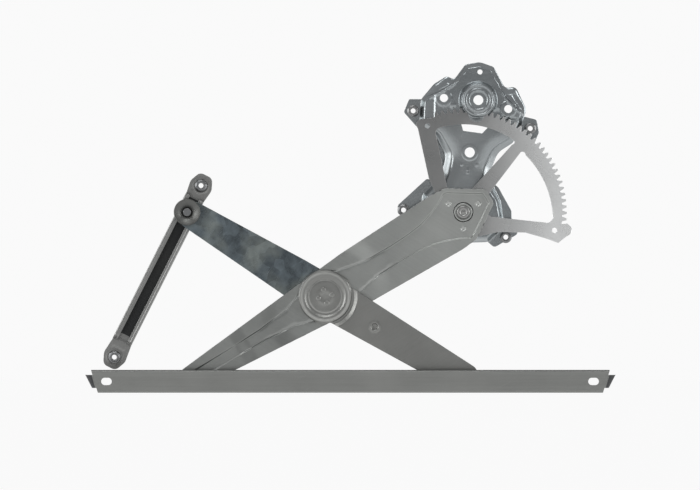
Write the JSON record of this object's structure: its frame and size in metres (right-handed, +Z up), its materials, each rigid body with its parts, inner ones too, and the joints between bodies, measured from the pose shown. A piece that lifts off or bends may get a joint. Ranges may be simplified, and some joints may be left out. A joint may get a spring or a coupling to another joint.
{
  "type": "window regulator",
  "caption": "Scissor window regulator: toothed sector on a drawn base plate, crossed lift and balance arms, glass rail and door guide channel, without motor.",
  "frame": {"origin": "centre of the pinion bore, in the middle of its wall", "axes": "+X along the glass rail, +Z up in the door, -Y towards the glass and out of the pinion bore"},
  "size_m": [0.528, 0.036, 0.3347],
  "materials": {
    "bright_zinc": "bright zinc plated pressed steel",
    "grey_steel": "satin grey zinc coated steel",
    "spangled_zinc": "bluish mottled galvanised steel",
    "dark_steel": "dark plated steel",
    "nylon": "natural nylon"
  },
  "bodies": {
    "base": {"base_plate": "bright_zinc", "main_pivot_stud": "bright_zinc", "pivot_spacer": "nylon", "left_weld_nut": "dark_steel", "right_weld_nut": "dark_steel", "low_left_weld_nut": "dark_steel", "low_right_weld_nut": "dark_steel"},
    "lift_arm_body": {"sector_gear": "bright_zinc", "lift_arm": "grey_steel", "pivot_bush": "nylon", "arm_clinches": "bright_zinc", "lift_roller_stud": "dark_steel"},
    "balance_arm_body": {"equalizer_front_arm": "grey_steel", "equalizer_rear_arm": "spangled_zinc", "centre_hub": "bright_zinc", "centre_rivets": "bright_zinc", "rail_roller_stud": "dark_steel", "guide_roller_stud": "dark_steel", "guide_washer": "bright_zinc"},
    "lift_roller_body": {"lift_roller": "nylon"},
    "rail_body": {"glass_rail": "grey_steel"},
    "rail_roller_body": {"rail_roller": "nylon"},
    "guide_roller_body": {"guide_roller": "nylon"},
    "guide_channel_body": {"guide_channel": "grey_steel", "guide_left_side": "grey_steel", "guide_right_side": "grey_steel", "upper_guide_nut": "dark_steel", "lower_guide_nut": "dark_steel"}
  },
  "joints": [
    {"name": "sector_swing", "type": "hinge", "parent": "base", "child": "lift_arm_body", "pos_m": [-0.01494, 0.0038, -0.11201], "axis": [0, -1, 0], "range_deg": [-20, 80]},
    {"name": "scissor_fold", "type": "hinge", "parent": "lift_arm_body", "child": "balance_arm_body", "pos_m": [-0.15322, 0.0038, -0.19641], "axis": [0, -1, 0], "range_deg": [-27, 152]},
    {"name": "lift_roller_turn", "type": "hinge", "parent": "lift_arm_body", "child": "lift_roller_body", "pos_m": [-0.2915, 0.0038, -0.28081], "axis": [0, -1, 0], "range_deg": [-14, 77]},
    {"name": "rail_slide", "type": "slide", "parent": "lift_roller_body", "child": "rail_body", "axis": [1, 0, 0], "range_m": [-0.075, 0.075]},
    {"name": "rail_roller_spin", "type": "hinge", "parent": "balance_arm_body", "child": "rail_roller_body", "pos_m": [-0.01494, 0.0038, -0.28081], "axis": [0, -1, 0], "continuous": true},
    {"name": "guide_swivel", "type": "hinge", "parent": "balance_arm_body", "child": "guide_roller_body", "pos_m": [-0.2915, 0.0038, -0.11201], "axis": [0, -1, 0], "range_deg": [-78, 15]},
    {"name": "guide_slide", "type": "slide", "parent": "guide_roller_body", "child": "guide_channel_body", "axis": [0.4509, 0, 0.8926], "range_m": [-0.006, 0.12]}
  ],
  "couplings": [
    {"joint": "lift_roller_turn", "follows": "scissor_fold", "ratio": 0.5}
  ]
}
